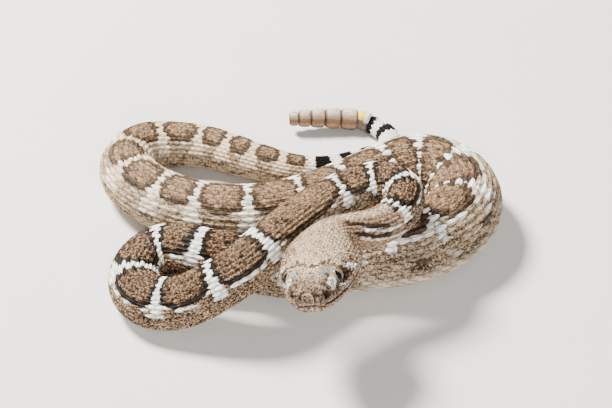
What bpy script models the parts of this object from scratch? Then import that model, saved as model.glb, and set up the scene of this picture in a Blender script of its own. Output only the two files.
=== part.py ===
"""Western diamondback rattlesnake, a still model at life size.

The snake lies coiled on a flat floor: the neck doubles back over the coils, the head rests
level at the front, and the tail comes round the back with the rattle pointing left.
One route runs from the snout to the tip of the rattle. Every piece of flesh is a grid
wrapped round a stretch of that route. Sizes are in millimetres, +Z up, the front is -Y.
"""
import math

import bmesh
import bpy
import numpy as np
from mathutils import Matrix, Vector

MM = 0.001
GAP = 0.3                   # clear space between pieces that touch

# The route, chosen by eye: x, y and the height of the belly above the floor.
ROUTE = [
    (0.8, -74.2, 28.5), (3.4, -61, 28.2), (6.8, -47.6, 27.6), (11.8, -43.8, 26.2), (20, -40.8, 25),
    (26.3, -36.7, 25.4), (30, -30.2, 25.6), (28.8, -24.2, 25), (24, -20.7, 23.8), (17.5, -21.4, 22.6),
    (2, -30, 20.1), (-13, -43.8, 17.1), (-20, -49.2, 13.5), (-28.5, -51.4, 7.7), (-36, -51.8, 2.7),
    (-43, -51.1, 0.4), (-50.1, -48.1, 0), (-53.1, -40, 0), (-50, -32, 0.5), (-43, -29.3, 2.3),
    (-36.5, -31.5, 3.8), (-30, -33.6, 3.7), (-23.5, -34.5, 2.8), (-16, -36, 1.1), (-7, -37, 0.1),
    (3.5, -36.5, 0), (23, -32, 0), (33.5, -29.4, 0), (43.2, -23.4, 0), (49.8, -15, 0), (50.3, -5.4, 0),
    (45.6, 1.9, 0), (38.4, 5.1, 0), (30, 3.8, 0), (15.5, -4, 0), (-0.5, -11, 0), (-15.5, -14.5, 0),
    (-32.5, -13, 0), (-43, -9, 0), (-50.5, -4.5, 0), (-56.6, 2, 0), (-58.8, 9.3, 0),
    (-55.7, 17.2, 0), (-48.5, 20.7, 0), (-41, 21.2, 0), (-33, 20.5, 0), (-17, 14.5, 0),
    (-0.5, 11.5, 0), (10, 13, 0), (21, 17.5, 0), (26, 20, 0), (28.5, 23.5, 0), (28.5, 27.5, 0),
    (26.5, 32, 0.1), (20.5, 36, 0.6), (5, 36.5, 1.7), (-6, 35.5, 2),
]
# Half width of the body at a distance along the route.
GIRTH = [(0, 6.2), (36, 6.1), (45, 6), (70, 6.9), (97, 7.4), (112, 7.6), (128, 8.1), (150, 8.4), (198, 8.3),
         (214, 8.6), (233, 9.6), (253, 11.2), (274, 12.3), (290, 12.4), (320, 11.7), (370, 10.4),
         (400, 10), (416, 9.8), (432, 9), (456, 7.3), (474, 6.5), (490, 5.1), (502, 4.5),
         (527, 3.9), (540, 3.1), (566, 3)]
STEP = 0.25                 # spacing of the places worked out on the route
EASE = 2.0                  # reach of the smoothing that evens out its bends
BELLY = 0.9                 # height of the middle of the body over the belly, per half width
SIDES = 20

# The head: distance from the snout, half width at the lips, top, bottom, level of the lips, and
# how square it is above and below them.
HEAD = [(0, 3.4, 2, 3.6, -1, 2.2, 2.4), (0.8, 4.8, 2.9, 4.5, -1, 2.2, 2.4),
        (3, 7.2, 4, 5.3, -1.1, 2.2, 2.3), (6, 9.2, 4.7, 5.6, -1.2, 2.1, 2.3),
        (10, 10.9, 5.3, 5.8, -1.3, 1.9, 2.3), (15, 12.1, 5.5, 6, -1.4, 1.9, 2.3),
        (19.5, 12.4, 5.6, 6.1, -1.5, 2, 2.2), (22, 11.8, 5.6, 6.1, -1.5, 2, 2.2),
        (24.5, 10.4, 5.5, 6, -1.3, 2, 2.1), (27.5, 8.1, 5.5, 5.8, -0.9, 2, 2),
        (30.5, 6.8, 5.6, 5.7, -0.4, 2, 2), (36, 6.1, 6.1, 6.1, 0, 2, 2)]
HEAD_RINGS = [0, 0.7, 1.8, 3.2, 5, 6.8, 8.4, 9.6, 10.8, 12.2, 14, 16.2, 18.5, 20.6, 22.4, 24.2, 26, 28]
HEAD_SIDES = 36
HEAD_ROLL = math.radians(15.5)  # the snake's left side is raised
ROLL_END = 70.0

EYE = (9.1, 6.85, 2)      # distance from the snout, sideways, up
EYE_RADIUS = 2.25
NOSTRIL = (1.9, 5.7, 1.1)
NOSTRIL_RADIUS = 0.75
PIT = (5.4, 8.7, -0.1)      # the heat-sensing pit, between eye and nostril
PIT_RADIUS = 0.7
MOUTH_END = 21.0            # corner of the mouth
MOUTH_GAP = 0.35
MOUTH_DEPTH = 0.14          # share of the head's width that the line goes in

# Where the body is divided, by distance along the route.
LENGTHS = [("neck", 28), ("body_1", 90), ("body_2", 138), ("body_3", 178), ("body_4", 225),
           ("body_5", 268), ("body_6", 310), ("body_7", 352), ("body_8", 396), ("body_9", 420),
           ("body_10", 462), ("tail", 500)]
TAIL_END = 539.0
RATTLE = [4.6, 5.9, 5.4, 4.9, 4.2, 3.1]   # lengths of the segments from the tail outwards
RATTLE_TALL = 4.1           # half height of the largest segment
RATTLE_THICK = 2.8          # half thickness
RATTLE_RAISE = 1.0          # its middle over the route
RATTLE_SIZES = [0.92, 1, 0.97, 0.91, 0.82, 0.68]
RATTLE_SHAPE = [(0, 0.84), (0.12, 0.95), (0.36, 1), (0.66, 0.98), (0.88, 0.9), (1, 0.76)]
RATTLE_SIDES = 14


def remove_everything():
    for thing in list(bpy.data.objects):
        bpy.data.objects.remove(thing)


def natural_spline(knots, values, where):
    """Values of the smooth curve through the knots, a natural cubic, at the places asked for."""
    knots, values = np.asarray(knots, float), np.asarray(values, float)
    gaps = np.diff(knots)
    count = len(knots)
    matrix, right = np.eye(count), np.zeros((count,) + values.shape[1:])
    for i in range(1, count - 1):
        matrix[i, i - 1:i + 2] = gaps[i - 1], 2 * (gaps[i - 1] + gaps[i]), gaps[i]
        right[i] = 6 * ((values[i + 1] - values[i]) / gaps[i] - (values[i] - values[i - 1]) / gaps[i - 1])
    bend = np.linalg.solve(matrix, right)
    where = np.clip(np.atleast_1d(where), knots[0], knots[-1])
    i = np.clip(np.searchsorted(knots, where) - 1, 0, count - 2)
    column = (slice(None),) + (None,) * (values.ndim - 1)
    span, before, after = gaps[i][column], (where - knots[i])[column], (knots[i + 1] - where)[column]
    return (bend[i] * after ** 3 / (6 * span) + bend[i + 1] * before ** 3 / (6 * span)
            + (values[i + 1] / span - bend[i + 1] * span / 6) * before
            + (values[i] / span - bend[i] * span / 6) * after)


class Table:
    """Smooth curves through rows of a distance and one or more values."""

    def __init__(self, rows):
        rows = np.array(rows, float)
        self.s = np.append(np.arange(rows[0, 0], rows[-1, 0], 0.25), rows[-1, 0])
        self.columns = natural_spline(rows[:, 0], rows[:, 1:], self.s).T

    def __call__(self, s):
        return [np.interp(s, self.s, column) for column in self.columns]


girth = Table(GIRTH)
head_shape = Table(HEAD)


class Route:
    """The line from snout to rattle tip, with the directions that go with each place on it."""

    def __init__(self):
        points = np.array(ROUTE, float)
        knots = np.r_[0, np.cumsum(np.linalg.norm(np.diff(points, axis=0), axis=1) ** 0.5)]
        line = natural_spline(knots, points, np.linspace(0, knots[-1], 8000))
        along = np.r_[0, np.cumsum(np.linalg.norm(np.diff(line, axis=0), axis=1))]
        self.s = np.arange(0, along[-1], STEP)
        line = np.stack([np.interp(self.s, along, line[:, k]) for k in range(3)], axis=1)
        reach = round(3 * EASE / STEP)
        weights = np.exp(-0.5 * (np.arange(-reach, reach + 1) * STEP / EASE) ** 2)
        longer = np.pad(line, ((reach, reach), (0, 0)), mode="reflect", reflect_type="odd")
        eased = [np.convolve(longer[:, k], weights / weights.sum(), mode="valid") for k in range(3)]
        self.centre = np.stack(eased, axis=1)
        self.centre[:, 2] = np.maximum(self.centre[:, 2] - 0.1, 0) + BELLY * girth(self.s)[0]
        forward = -np.gradient(self.centre, axis=0)
        self.forward = forward / np.linalg.norm(forward, axis=1)[:, None]
        right = np.cross(self.forward, (0, 0, 1))
        right /= np.linalg.norm(right, axis=1)[:, None]
        up = np.cross(right, self.forward)
        level = np.clip((ROLL_END - self.s) / (ROLL_END - HEAD_RINGS[-1]), 0, 1)
        roll = (HEAD_ROLL * level ** 2 * (3 - 2 * level))[:, None]
        self.right = right * np.cos(roll) - up * np.sin(roll)
        self.up = up * np.cos(roll) + right * np.sin(roll)
        turning = np.linalg.norm(np.gradient(self.forward, axis=0), axis=1)
        self.effort = np.cumsum(STEP / 5 + turning / math.radians(13))

    def place(self, s, right, up, ahead=0):
        """Point at a distance along the route, moved to the snake's right, up and ahead."""
        fields = (self.centre, self.right, self.up, self.forward)
        at = [np.array([np.interp(s, self.s, field[:, k]) for k in range(3)]) for field in fields]
        ahead = max(ahead, -s)
        return Vector((at[0] + right * at[1] + up * at[2] + ahead * at[3]) * MM)

    def rings(self, start, end):
        """Distances from start to end, closer together where the body bends."""
        low, high = np.interp((start, end), self.s, self.effort)
        count = max(2, math.ceil(high - low))
        return np.interp(np.linspace(low, high, count + 1), self.effort, self.s)


def bump(x, middle, reach):
    return math.exp(-((x - middle) / reach) ** 2)


def flesh(s, angle):
    """Right and up from the route to the surface, the angle measured from the back's ridge."""
    half = girth(s)[0]
    width, top, bottom, lips, above, below = half, half, half, 0, 2, 2
    relief = 0
    if s < HEAD[-1][0]:
        width, top, bottom, lips, above, below = head_shape(s)
        around = math.degrees(abs((angle + math.pi) % (2 * math.pi) - math.pi))
        relief = (0.9 * bump(s, 10.2, 3.4) * bump(around, 42, 11)      # brow over the eye
                  + 0.3 * bump(s, 4, 3) * bump(around, 46, 12)         # ridge from brow to snout
                  - 0.9 * bump(s, 6, 3.5) * bump(around, 72, 14)       # hollow before the eye
                  - 0.3 * bump(s, 13, 8) * bump(around, 0, 20))        # dip along the crown
    aside, rise = math.sin(angle), math.cos(angle)
    square = above if rise > 0 else below
    right = math.copysign(abs(aside) ** (2 / square), aside) * width
    rise = math.copysign(abs(rise) ** (2 / square), rise)
    up = lips + rise * (top - lips if rise > 0 else bottom + lips)
    longer = 1 + relief / math.hypot(right, up)
    return right * longer, max(up * longer, -BELLY * half if s > HEAD[-1][0] else -bottom)


def wrap_grid(rings, sides, surface):
    """Closed tube: a grid wrapped round, each vertex put where surface(ring, turn) says."""
    bm = bmesh.new()
    bmesh.ops.create_grid(bm, x_segments=len(rings) - 1, y_segments=sides, size=0.5)
    for vert in bm.verts:
        ring = round((vert.co.x + 0.5) * (len(rings) - 1))
        turn = round((vert.co.y + 0.5) * sides) % sides / sides
        vert.co = surface(rings[ring], turn)
    bmesh.ops.remove_doubles(bm, verts=bm.verts, dist=1e-7)
    bmesh.ops.holes_fill(bm, edges=bm.edges, sides=0)
    bmesh.ops.recalc_face_normals(bm, faces=bm.faces)
    return bm


def add_object(name, bm, material=None, sharp_degrees=40):
    mesh = bpy.data.meshes.new(name)
    bm.to_mesh(mesh)
    bm.free()
    mesh.shade_smooth()
    mesh.set_sharp_from_angle(angle=math.radians(sharp_degrees))
    if material:
        mesh.materials.append(material)
    thing = bpy.data.objects.new(name, mesh)
    bpy.context.scene.collection.objects.link(thing)
    return thing


def paint(name, colour, roughness):
    material = bpy.data.materials.new(name)
    material.use_nodes = True
    shader = material.node_tree.nodes["Principled BSDF"]
    shader.inputs["Base Color"].default_value = (*colour, 1)
    shader.inputs["Roughness"].default_value = roughness
    shader.inputs["Metallic"].default_value = 0
    return material


def flesh_piece(route, name, rings, sides, material):
    """A length of the snake whose end faces stand half a gap back from where it is divided."""
    ahead = [0.0] * len(rings)
    ahead[0] = -GAP / 2 if rings[0] else 0
    ahead[-1] = GAP / 2

    def surface(number, turn):
        s = rings[number]
        return route.place(s, *flesh(s, (turn + 0.5 / sides) * 2 * math.pi), ahead[number])

    return add_object(name, wrap_grid(range(len(rings)), sides, surface), material)


def make_body(route):
    ends = [start for _, start in LENGTHS[1:]] + [TAIL_END]
    for (name, start), end in zip(LENGTHS, ends):
        colour = (0.62, 0.6, 0.56) if name == "tail" else (0.33, 0.26, 0.19)
        flesh_piece(route, name, route.rings(start, end), SIDES, paint(name, colour, 0.6))


def mouth_height(s):
    """The mouth line sinks a little from the snout and turns up at its corner."""
    return -1 - 0.9 * math.sin(min(s / 16, 1) * math.pi / 2) + 0.7 * max(0, (s - 17) / 4) ** 2


def mouth_cutter(route):
    """A thin strip round the lips, from one corner past the snout to the other."""
    middle = 11.0

    def surface(q, turn):
        s = MOUTH_END * abs(q) ** 1.7
        width = flesh(s, math.pi / 2)[0] * (min(1, abs(q) / 0.12) if abs(q) < 0.12 else 1)
        share = 1.13 if turn in (0, 0.75) else 1 - MOUTH_DEPTH
        half = MOUTH_GAP / 2 if turn < 0.5 else -MOUTH_GAP / 2
        along = middle + (s - middle) * share
        return route.place(along, math.copysign(width, q) * share, mouth_height(s) + half)

    bm = wrap_grid(np.linspace(-1, 1, 31), 4, surface)
    return add_object("mouth_cutter", bm)


def ball(name, route, where, radius, material=None, stretch=(1, 1, 1), segments=16, lean=0):
    """Ball in the head's side, its stretched axis pointing out and by lean ahead."""
    bm = bmesh.new()
    bmesh.ops.create_uvsphere(bm, u_segments=segments, v_segments=segments * 5 // 8, radius=radius * MM)
    bmesh.ops.scale(bm, vec=stretch, verts=bm.verts)
    thing = add_object(name, bm, material)
    thing.location = route.place(*where)
    s, right, up = where
    out = (route.place(s, right + math.copysign(1, right), up, lean) - thing.location).normalized()
    above = (route.place(s, right, up + 1) - thing.location).normalized()
    thing.rotation_euler = Matrix((out, above.cross(out), above)).transposed().to_euler()
    return thing


def make_head(route):
    head = flesh_piece(route, "head", HEAD_RINGS, HEAD_SIDES, paint("head", (0.42, 0.35, 0.27), 0.6))
    cutters = bpy.data.collections.new("head_cutters")
    bpy.context.scene.collection.children.link(cutters)
    tools = [mouth_cutter(route)]
    for name, side in (("right", 1), ("left", -1)):
        s, right, up = EYE
        ball("eye_" + name, route, (s, side * right, up), EYE_RADIUS,
             paint("eye_" + name, (0.25, 0.22, 0.13), 0.1))
        tools.append(ball("socket_" + name, route, (s, side * right, up), EYE_RADIUS + GAP))
        for part, (s, right, up), radius in (("nostril_", NOSTRIL, NOSTRIL_RADIUS),
                                             ("pit_", PIT, PIT_RADIUS)):
            tools.append(ball(part + name, route, (s, side * right, up), radius,
                              stretch=(1.9, 1, 0.9), segments=8, lean=1))
    for tool in tools:
        tool.hide_render = True
        tool.display_type = "WIRE"
        bpy.context.scene.collection.objects.unlink(tool)
        cutters.objects.link(tool)
    cut = head.modifiers.new("openings", "BOOLEAN")
    cut.operation = "DIFFERENCE"
    cut.operand_type = "COLLECTION"
    cut.collection = cutters
    cut.solver = "EXACT"


def make_rattle(route):
    """Horny segments, each a swollen ring with a waist, taller than it is thick."""
    start = TAIL_END
    for number, (length, size) in enumerate(zip(RATTLE, RATTLE_SIZES), 1):
        begin, end = start + GAP / 2, start + length - GAP / 2

        def surface(row, turn):
            share, swell = row
            angle = (turn + 0.5 / RATTLE_SIDES) * 2 * math.pi
            aside, above = math.sin(angle), math.cos(angle)
            waist = 1 - 0.12 * abs(aside) ** 4             # groove along each flank
            right = RATTLE_THICK * size * swell * aside * waist
            up = RATTLE_TALL * size * swell * math.copysign(abs(above) ** 0.8, above)
            return route.place(begin + share * (end - begin), right, up + RATTLE_RAISE)

        name = f"rattle_{number}"
        add_object(name, wrap_grid(RATTLE_SHAPE, RATTLE_SIDES, surface),
                   paint(name, (0.4, 0.36, 0.27), 0.45))
        start += length


def centre_on_floor():
    """Move everything so that the middle of the snake's footprint is the origin."""
    made = [thing for thing in bpy.data.objects if not thing.hide_render]
    bpy.context.view_layer.update()
    corners = np.array([thing.matrix_world @ vert.co for thing in made for vert in thing.data.vertices])
    middle = (corners.min(axis=0) + corners.max(axis=0)) / 2
    for thing in bpy.data.objects:
        thing.location -= Vector((middle[0], middle[1], 0))


remove_everything()
snake = Route()
make_head(snake)
make_body(snake)
make_rattle(snake)
centre_on_floor()
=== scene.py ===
"""Looks of the coiled western diamondback rattlesnake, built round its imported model.

One skin runs from the snout to the rattle. Keeled scales, belly scutes and head plates lie
over it, each a small closed solid. Skin and scales share one set of markings, which follow
the distance from the snout and the way round the body. Lengths are in millimetres until a
point is placed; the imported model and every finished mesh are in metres.
"""

import math

import bmesh
import bpy
import numpy as np
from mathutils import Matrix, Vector


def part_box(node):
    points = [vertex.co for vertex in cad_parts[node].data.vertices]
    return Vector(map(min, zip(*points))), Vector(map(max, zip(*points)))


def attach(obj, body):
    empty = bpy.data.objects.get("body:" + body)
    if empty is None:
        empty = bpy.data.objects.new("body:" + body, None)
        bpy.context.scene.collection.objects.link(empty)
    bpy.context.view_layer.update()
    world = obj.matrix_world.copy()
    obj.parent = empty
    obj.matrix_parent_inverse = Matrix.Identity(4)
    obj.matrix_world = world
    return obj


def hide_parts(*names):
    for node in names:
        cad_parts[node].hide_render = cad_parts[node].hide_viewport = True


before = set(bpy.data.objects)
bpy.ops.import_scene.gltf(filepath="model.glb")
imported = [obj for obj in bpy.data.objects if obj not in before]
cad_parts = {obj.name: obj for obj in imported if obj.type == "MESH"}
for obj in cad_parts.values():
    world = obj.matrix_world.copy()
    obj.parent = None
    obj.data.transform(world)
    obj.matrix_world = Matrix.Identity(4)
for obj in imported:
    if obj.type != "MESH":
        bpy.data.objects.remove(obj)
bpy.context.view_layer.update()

MM = 0.001

# The route and the head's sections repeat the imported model's.
ROUTE = [
    (0.8, -74.2, 28.5), (3.4, -61, 28.2), (6.8, -47.6, 27.6), (11.8, -43.8, 26.2), (20, -40.8, 25),
    (26.3, -36.7, 25.4), (30, -30.2, 25.6), (28.8, -24.2, 25), (24, -20.7, 23.8), (17.5, -21.4, 22.6),
    (2, -30, 20.1), (-13, -43.8, 17.1), (-20, -49.2, 13.5), (-28.5, -51.4, 7.7), (-36, -51.8, 2.7),
    (-43, -51.1, 0.4), (-50.1, -48.1, 0), (-53.1, -40, 0), (-50, -32, 0.5), (-43, -29.3, 2.3),
    (-36.5, -31.5, 3.8), (-30, -33.6, 3.7), (-23.5, -34.5, 2.8), (-16, -36, 1.1), (-7, -37, 0.1),
    (3.5, -36.5, 0), (23, -32, 0), (33.5, -29.4, 0), (43.2, -23.4, 0), (49.8, -15, 0), (50.3, -5.4, 0),
    (45.6, 1.9, 0), (38.4, 5.1, 0), (30, 3.8, 0), (15.5, -4, 0), (-0.5, -11, 0), (-15.5, -14.5, 0),
    (-32.5, -13, 0), (-43, -9, 0), (-50.5, -4.5, 0), (-56.6, 2, 0), (-58.8, 9.3, 0),
    (-55.7, 17.2, 0), (-48.5, 20.7, 0), (-41, 21.2, 0), (-33, 20.5, 0), (-17, 14.5, 0),
    (-0.5, 11.5, 0), (10, 13, 0), (21, 17.5, 0), (26, 20, 0), (28.5, 23.5, 0), (28.5, 27.5, 0),
    (26.5, 32, 0.1), (20.5, 36, 0.6), (5, 36.5, 1.7), (-6, 35.5, 2),
]
# Half the body's thickness at a distance from the snout.
GIRTH = [(0, 6.2), (36, 6.1), (45, 6), (70, 6.9), (97, 7.4), (112, 7.6), (128, 8.1), (150, 8.4), (198, 8.3),
         (214, 8.6), (233, 9.6), (253, 11.2), (274, 12.3), (290, 12.4), (320, 11.7), (370, 10.4),
         (400, 10), (416, 9.8), (432, 9), (456, 7.3), (474, 6.5), (490, 5.1), (502, 4.5),
         (527, 3.9), (540, 3.1), (566, 3)]
# The head at a distance from the snout: half width, how far it reaches over and under the route,
# height of its widest line, and squareness above and below that line.
HEAD = [(0, 3.4, 2, 3.6, -1, 2.2, 2.4), (0.8, 4.8, 2.9, 4.5, -1, 2.2, 2.4),
        (3, 7.2, 4, 5.3, -1.1, 2.2, 2.3), (6, 9.2, 4.7, 5.6, -1.2, 2.1, 2.3),
        (10, 10.9, 5.3, 5.8, -1.3, 1.9, 2.3), (15, 12.1, 5.5, 6, -1.4, 1.9, 2.3),
        (19.5, 12.4, 5.6, 6.1, -1.5, 2, 2.2), (22, 11.8, 5.6, 6.1, -1.5, 2, 2.2),
        (24.5, 10.4, 5.5, 6, -1.3, 2, 2.1), (27.5, 8.1, 5.5, 5.8, -0.9, 2, 2),
        (30.5, 6.8, 5.6, 5.7, -0.4, 2, 2), (36, 6.1, 6.1, 6.1, 0, 2, 2)]
# Swellings and hollows of the head: height, place and reach along it, place and reach round it in degrees.
RELIEF = [(0.9, 10.2, 3.4, 42, 11), (0.3, 4, 3, 46, 12), (-0.9, 6, 3.5, 72, 14), (-0.3, 13, 8, 0, 20)]
STEP, EASE = 0.25, 2.0      # spacing of the route's points, and the reach over which its bends are eased
SLACK = 0.1                 # a rise of the route up to this lies on the floor
BELLY = 0.9                 # depth of the flattened underside, per half thickness
NAPE = 36.0                 # where the head's sections give way to round ones
HEAD_ROLL, ROLL_START, ROLL_END = math.radians(15.5), 28.0, 70.0
TAIL_END = 539.0
RING_STEP = 0.5             # spacing of the rings at which the way round is measured
EYE = (9.1, 6.85, 2)        # distance from the snout, sideways, up
EYE_RADIUS = 2.25
GAZE = (0.67, 0.43, 0.6)    # sideways, up, ahead
NOSTRIL = (1.9, 5.7, 1.1)
PIT = (5.4, 8.7, -0.1)      # the heat-sensing pit, between eye and nostril
MOUTH_CORNER = 21.5
# Segments of the rattle from the tail outwards: lengths, sizes, and the gap at each of their ends.
RATTLE = [4.6, 5.9, 5.4, 4.9, 4.2, 3.1]
RATTLE_SIZES = [0.92, 1, 0.97, 0.91, 0.82, 0.68]
RATTLE_GAP = 0.08
RATTLE_TALL, RATTLE_THICK, RATTLE_RAISE = 4.1, 2.8, 1.0

# The snout's rounded front: its rings shrink to a point over CAP, and it stands DOME ahead.
FRONT, CAP, DOME = 0.5, 3.0, 0.45

# Width of a row of scales at a distance from the snout.
SCALE_WIDE = [(0, 0.8), (8, 0.9), (16, 1.05), (26, 1.2), (40, 1.22), (60, 1.3), (112, 1.38), (150, 1.5),
              (198, 1.52), (233, 1.75), (253, 2), (290, 2.2), (320, 2.1), (370, 1.9), (416, 1.8),
              (456, 1.42), (490, 1.12), (527, 0.95), (566, 0.9)]
# Distance from one scale of a row to the next, per width.
SCALE_LONG = [(0, 0.95), (16, 1.15), (28, 1.5), (50, 1.75), (566, 1.6)]
SCALE_TALL = 0.24           # height of a scale, per width
SPREAD, OVERLAP = 0.54, 1.45    # half width of a scale, per width, and its length, per distance to the next
BELLY_EDGE = 0.80           # belly scutes reach this many half thicknesses from the middle
SCUTES_START = 26
# Where one marking ends and the next begins, by the photograph.
BARS = [20, 36, 51, 62.8, 73.5, 84.8, 115.2, 131.5, 152.2, 167.2, 184, 196.5, 209, 224, 240, 256, 270, 288,
        303, 315, 326, 341.8, 357, 374, 390, 403, 417, 429, 441.5, 455, 465, 474, 484, 493, 502, 560]


def natural_spline(knots, values, where):
    """Values of the smooth curve through the knots, a natural cubic, at the places asked for."""
    gaps = np.diff(knots)
    count = len(knots)
    matrix, right = np.eye(count), np.zeros((count,) + values.shape[1:])
    for i in range(1, count - 1):
        matrix[i, i - 1:i + 2] = gaps[i - 1], 2 * (gaps[i - 1] + gaps[i]), gaps[i]
        right[i] = 6 * ((values[i + 1] - values[i]) / gaps[i] - (values[i] - values[i - 1]) / gaps[i - 1])
    bend = np.linalg.solve(matrix, right)
    i = np.clip(np.searchsorted(knots, where) - 1, 0, count - 2)
    column = (slice(None),) + (None,) * (values.ndim - 1)
    span, before, after = gaps[i][column], (where - knots[i])[column], (knots[i + 1] - where)[column]
    return (bend[i] * after ** 3 / (6 * span) + bend[i + 1] * before ** 3 / (6 * span)
            + (values[i + 1] / span - bend[i + 1] * span / 6) * before
            + (values[i] / span - bend[i] * span / 6) * after)


class Table:
    """Smooth curves through rows of a distance and one or more values."""

    def __init__(self, rows):
        rows = np.array(rows, float)
        self.s = np.append(np.arange(rows[0, 0], rows[-1, 0], STEP), rows[-1, 0])
        self.columns = natural_spline(rows[:, 0], rows[:, 1:], self.s).T

    def __call__(self, s):
        return [np.interp(s, self.s, column) for column in self.columns]


girth = Table(GIRTH)
head_shape = Table(HEAD)


def bump(x, middle, reach):
    return np.exp(-((x - middle) / reach) ** 2)


def ease(x, low, high):
    x = np.clip((x - low) / (high - low), 0, 1)
    return x * x * (3 - 2 * x)


def flesh(s, angle):
    """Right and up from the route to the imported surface, the angle measured from the back's ridge."""
    s, angle = np.broadcast_arrays(s, angle)
    half = girth(s)[0]
    in_head = s < NAPE
    shape = [np.where(in_head, a, b) for a, b in zip(head_shape(s), (half, half, half, 0, 2, 2))]
    width, top, bottom, lips, above, below = shape
    around = np.degrees(np.abs((angle + math.pi) % (2 * math.pi) - math.pi))
    relief = np.where(in_head, sum(height * bump(s, at, along) * bump(around, turn, reach)
                                   for height, at, along, turn, reach in RELIEF), 0)
    aside, rise = np.sin(angle), np.cos(angle)
    square = np.where(rise > 0, above, below)
    right = np.sign(aside) * np.abs(aside) ** (2 / square) * width
    rise = np.sign(rise) * np.abs(rise) ** (2 / square)
    up = lips + rise * np.where(rise > 0, top - lips, bottom + lips)
    longer = 1 + relief / np.hypot(right, up)
    return right * longer, np.maximum(up * longer, np.where(in_head, -bottom, -BELLY * half))


def scale_size(s):
    """Width of a row of scales and distance from one scale of a row to the next."""
    wide = np.interp(s, *np.array(SCALE_WIDE).T)
    return wide, wide * np.interp(s, *np.array(SCALE_LONG).T)


def coat(s):
    """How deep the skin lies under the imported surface, which the scales' keels reach."""
    return SCALE_TALL * scale_size(s)[0]


class Snake:
    """The route from snout to rattle and the skin round it."""

    def __init__(self):
        points = np.array(ROUTE, float)
        knots = np.r_[0, np.cumsum(np.linalg.norm(np.diff(points, axis=0), axis=1) ** 0.5)]
        line = natural_spline(knots, points, np.linspace(0, knots[-1], 8000))
        along = np.r_[0, np.cumsum(np.linalg.norm(np.diff(line, axis=0), axis=1))]
        self.s = np.arange(0, along[-1], STEP)
        line = np.stack([np.interp(self.s, along, line[:, k]) for k in range(3)], axis=1)
        reach = round(3 * EASE / STEP)
        weights = np.exp(-0.5 * (np.arange(-reach, reach + 1) * STEP / EASE) ** 2)
        longer = np.pad(line, ((reach, reach), (0, 0)), mode="reflect", reflect_type="odd")
        eased = [np.convolve(longer[:, k], weights / weights.sum(), mode="valid") for k in range(3)]
        centre = np.stack(eased, axis=1)
        centre[:, 2] = np.maximum(centre[:, 2] - SLACK, 0) + BELLY * girth(self.s)[0]
        forward = -np.gradient(centre, axis=0)
        forward /= np.linalg.norm(forward, axis=1)[:, None]
        right = np.cross(forward, (0, 0, 1))
        right /= np.linalg.norm(right, axis=1)[:, None]
        up = np.cross(right, forward)
        roll = (HEAD_ROLL * (1 - ease(self.s, ROLL_START, ROLL_END)))[:, None]
        self.fields = [centre, right * np.cos(roll) - up * np.sin(roll),
                       up * np.cos(roll) + right * np.sin(roll), forward]
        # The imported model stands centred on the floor, so its eye says how far the route moved.
        low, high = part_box("eye_right")
        self.shift = np.zeros(3)
        self.shift = np.array((low + high) / 2) / MM - self.place(*[np.array([v]) for v in EYE])[0] / MM
        self.shift[2] = 0

        self.rows = np.arange(FRONT, TAIL_END + 1, RING_STEP)
        turns = np.linspace(0, math.pi, 181)
        across, above = flesh(self.rows[:, None], turns[None])
        arcs = np.hypot(np.diff(across, axis=1), np.diff(above, axis=1)).cumsum(axis=1)
        arcs = np.pad(arcs, ((0, 0), (1, 0)))
        self.half_rounds = arcs[:, -1]
        self.shares = np.linspace(0, 1, 121)
        self.angles = np.array([np.interp(self.shares, arc / arc[-1], turns) for arc in arcs])

    def place(self, s, right, up, ahead=0.0):
        """Points at distances along the route, moved to the snake's right, up and ahead, in metres."""
        centre, aside, above, forward = [np.stack([np.interp(s, self.s, column) for column in field.T], -1)
                                         for field in self.fields]
        return (centre + np.asarray(right)[..., None] * aside + np.asarray(up)[..., None] * above
                + np.asarray(ahead)[..., None] * forward + self.shift) * MM

    def half_round(self, s):
        """Length of the surface from the back's ridge round to the middle of the belly."""
        return np.interp(s, self.rows, self.half_rounds)

    def angle(self, s, share):
        """Angle at a share of the way round from the ridge, right positive, 1 at the belly."""
        share = (share + 1) % 2 - 1
        row = np.clip((s - self.rows[0]) / RING_STEP, 0, len(self.rows) - 1.001)
        column = np.abs(share) * (len(self.shares) - 1.001)
        i, j = row.astype(int), column.astype(int)
        x, y = row - i, column - j
        table = self.angles
        found = ((table[i, j] * (1 - x) + table[i + 1, j] * x) * (1 - y)
                 + (table[i, j + 1] * (1 - x) + table[i + 1, j + 1] * x) * y)
        return np.where(share < 0, -found, found)

    def share(self, s, angle):
        """Share of the way round from the ridge at an angle, the other way of angle()."""
        row = np.clip((np.ravel(s) - self.rows[0]) / RING_STEP, 0, len(self.rows) - 1).round().astype(int)
        found = [np.interp(abs(one), self.angles[i], self.shares) for one, i in zip(np.ravel(angle), row)]
        return np.copysign(np.reshape(found, np.shape(angle)), angle)

    def side(self, s, height):
        """Angle on the right of the head where its surface stands at a height over the route."""
        angle = np.linspace(0.02, math.pi - 0.02, 240)
        levels = flesh(np.maximum(s, FRONT)[:, None], angle[None])[1]
        return np.array([np.interp(-up, -row, angle) for up, row in zip(height, levels)])

    def front(self, right, up):
        """Distance and angle of the place on the snout that a view from ahead shows at right, up."""
        angle = np.arctan2(right, up)
        steps = np.linspace(FRONT, 19, 120)
        sizes = np.maximum.accumulate(np.hypot(*flesh(steps[None], angle[:, None])), axis=1)
        size = np.hypot(right, up)
        s = np.array([np.interp(one, row, steps) for one, row in zip(size, sizes)])
        return np.where(size < sizes[:, 0], FRONT - CAP * (1 - size / sizes[:, 0]), s), angle

    def lip(self, along, over):
        """Distance and angle of a place so far along the mouth from its middle and over its line."""
        rim = 4.6
        round_front = self.front(np.minimum(along, rim), mouth_height(0) + over)
        s = np.maximum(along - rim, 0) + FRONT
        back = self.side(s, mouth_height(s) + over)
        ahead = along < rim
        return np.where(ahead, round_front[0], s), np.where(ahead, round_front[1], back)

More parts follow.
